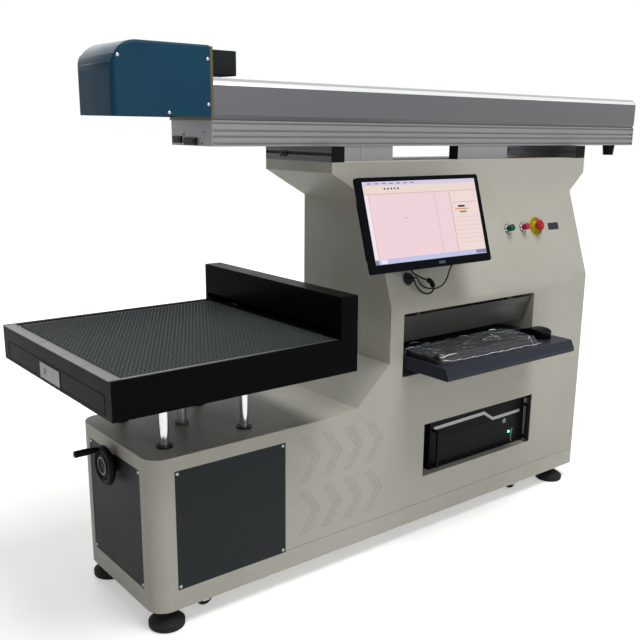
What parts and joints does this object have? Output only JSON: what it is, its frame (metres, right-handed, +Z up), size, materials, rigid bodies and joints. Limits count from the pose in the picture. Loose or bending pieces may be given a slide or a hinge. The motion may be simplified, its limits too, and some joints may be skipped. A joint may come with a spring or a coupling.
{
  "type": "laser marking machine",
  "caption": "Carbon dioxide laser marking machine: cabinet with computer and keyboard tray, lifting honeycomb table, laser beam housing and scan head.",
  "frame": {"origin": "on the floor, below the middle of the outline without the cables", "axes": "+X to the machine's right along its length, +Y from the operator's side to the back, +Z up"},
  "size_m": [2.345, 0.729, 1.468],
  "materials": {
    "body_paint": "satin paint",
    "panel_paint": "satin paint",
    "black_metal": "satin anodised",
    "gloss_black": "gloss",
    "black_plastic": "satin",
    "rubber": "matt",
    "steel": "machined",
    "chrome": "polished",
    "cast_iron": "painted",
    "aluminium": "satin anodised",
    "black_aluminium": "satin anodised",
    "dark_aluminium": "satin anodised",
    "head_paint": "fine texture paint",
    "olive_plate": "satin",
    "mirror": "polished",
    "tray_paint": "satin paint",
    "flap_paint": "satin paint",
    "screen_glass": "satin",
    "green_cap": "gloss",
    "red_cap": "gloss",
    "yellow_collar": "satin"
  },
  "bodies": {
    "machine": {"machine_body": "body_paint", "front_panel": "panel_paint", "left_panel": "panel_paint", "rear_panel": "body_paint", "panel_screws": "steel", "bushings": "black_metal", "lift_gearbox": "cast_iron", "levelling_pads": "rubber", "levelling_studs": "steel", "castor_plates": "chrome", "gantry_rails": "aluminium", "rail_caps": "black_plastic", "beam_supports": "aluminium", "beam_profile": "aluminium", "beam_housing": "aluminium", "beam_end_plates": "aluminium", "laser_source": "aluminium", "head_flange": "olive_plate", "head_cover": "head_paint", "scan_block": "black_aluminium", "scan_lens": "black_aluminium", "driver_box": "black_metal", "beam_knob": "black_plastic", "button_bezels": "chrome", "stop_collar": "yellow_collar", "cable_gland": "black_plastic", "monitor_bracket": "black_metal", "pc_case": "black_metal", "tray_rails": "steel", "flap_hinges": "black_metal", "video_cable": "rubber", "power_cable": "rubber"},
    "table": {"table_frame": "black_metal", "honeycomb": "dark_aluminium", "edge_strips": "aluminium", "guide_rods": "chrome", "lift_screw": "steel", "suction_box": "gloss_black"},
    "drawer": {"waste_drawer": "black_metal"},
    "handwheel": {"handwheel": "black_plastic"},
    "crank": {"crank_grip": "black_plastic"},
    "tray": {"keyboard_tray": "tray_paint", "keyboard": "black_plastic", "mouse": "gloss_black"},
    "flap": {"recess_flap": "flap_paint"},
    "monitor": {"monitor_housing": "gloss_black", "monitor_screen": "screen_glass"},
    "green_button": {"green_button": "green_cap"},
    "red_button": {"red_button": "red_cap"},
    "stop_button": {"stop_button": "red_cap"},
    "first_mirror": {"mirror_x": "mirror"},
    "second_mirror": {"mirror_y": "mirror"},
    "castor_fork_fl": {"castor_fork_fl": "chrome"},
    "castor_wheel_fl": {"castor_wheel_fl": "rubber"},
    "castor_fork_fr": {"castor_fork_fr": "chrome"},
    "castor_wheel_fr": {"castor_wheel_fr": "rubber"},
    "castor_fork_bl": {"castor_fork_bl": "chrome"},
    "castor_wheel_bl": {"castor_wheel_bl": "rubber"},
    "castor_fork_br": {"castor_fork_br": "chrome"},
    "castor_wheel_br": {"castor_wheel_br": "rubber"}
  },
  "joints": [
    {"name": "table_lift", "type": "slide", "parent": "machine", "child": "table", "axis": [0, 0, 1], "range_m": [-0.145, 0.14]},
    {"name": "drawer_slide", "type": "slide", "parent": "table", "child": "drawer", "axis": [-1, 0, 0], "range_m": [0, 0.4]},
    {"name": "handwheel_turn", "type": "hinge", "parent": "machine", "child": "handwheel", "pos_m": [-1.0495, 0.025, 0.41], "axis": [1, 0, 0], "range_deg": [-2700, 2700]},
    {"name": "crank_spin", "type": "hinge", "parent": "handwheel", "child": "crank", "pos_m": [-1.0895, 0.0475, 0.44897], "axis": [1, 0, 0], "continuous": true},
    {"name": "tray_slide", "type": "slide", "parent": "machine", "child": "tray", "axis": [0, 1, 0], "range_m": [-0.12, 0.17]},
    {"name": "flap_turn", "type": "hinge", "parent": "machine", "child": "flap", "pos_m": [0.1165, -0.1775, 0.735], "axis": [1, 0, 0], "range_deg": [-18.4, 26.6]},
    {"name": "monitor_tilt", "type": "hinge", "parent": "machine", "child": "monitor", "pos_m": [-0.1525, -0.16283, 0.99529], "axis": [1, 0, 0], "range_deg": [-12, 12], "deforming": ["video_cable", "power_cable"]},
    {"name": "green_push", "type": "slide", "parent": "machine", "child": "green_button", "axis": [0, 0.9484, -0.3172], "range_m": [0, 0.003], "stiffness_N_per_m": 400, "springref_m": -0.002},
    {"name": "red_push", "type": "slide", "parent": "machine", "child": "red_button", "axis": [0, 0.9484, -0.3172], "range_m": [0, 0.003], "stiffness_N_per_m": 400, "springref_m": -0.002},
    {"name": "stop_push", "type": "slide", "parent": "machine", "child": "stop_button", "axis": [0, 0.9484, -0.3172], "range_m": [0, 0.004]},
    {"name": "castor_swivel_fl", "type": "hinge", "parent": "machine", "child": "castor_fork_fl", "pos_m": [-0.8645, -0.1195, 0.06], "axis": [0, 0, 1], "continuous": true},
    {"name": "castor_roll_fl", "type": "hinge", "parent": "castor_fork_fl", "child": "castor_wheel_fl", "pos_m": [-0.8485, -0.1195, 0.027], "axis": [0, 1, 0], "continuous": true},
    {"name": "castor_swivel_fr", "type": "hinge", "parent": "machine", "child": "castor_fork_fr", "pos_m": [0.4245, -0.1195, 0.06], "axis": [0, 0, 1], "continuous": true},
    {"name": "castor_roll_fr", "type": "hinge", "parent": "castor_fork_fr", "child": "castor_wheel_fr", "pos_m": [0.4405, -0.1195, 0.027], "axis": [0, 1, 0], "continuous": true},
    {"name": "castor_swivel_bl", "type": "hinge", "parent": "machine", "child": "castor_fork_bl", "pos_m": [-0.8645, 0.1695, 0.06], "axis": [0, 0, 1], "continuous": true},
    {"name": "castor_roll_bl", "type": "hinge", "parent": "castor_fork_bl", "child": "castor_wheel_bl", "pos_m": [-0.8485, 0.1695, 0.027], "axis": [0, 1, 0], "continuous": true},
    {"name": "castor_swivel_br", "type": "hinge", "parent": "machine", "child": "castor_fork_br", "pos_m": [0.4245, 0.1695, 0.06], "axis": [0, 0, 1], "continuous": true},
    {"name": "castor_roll_br", "type": "hinge", "parent": "castor_fork_br", "child": "castor_wheel_br", "pos_m": [0.4405, 0.1695, 0.027], "axis": [0, 1, 0], "continuous": true},
    {"name": "first_mirror_turn", "type": "hinge", "parent": "machine", "child": "first_mirror", "pos_m": [-0.915, 0.088, 1.359], "axis": [0, 0, 1], "range_deg": [-12, 12]},
    {"name": "second_mirror_turn", "type": "hinge", "parent": "machine", "child": "second_mirror", "pos_m": [-0.915, 0.064, 1.359], "axis": [1, 0, 0], "range_deg": [-12, 12]}
  ],
  "couplings": [
    {"joint": "handwheel_turn", "follows": "table_lift", "rad_per_m": 314.16}
  ]
}
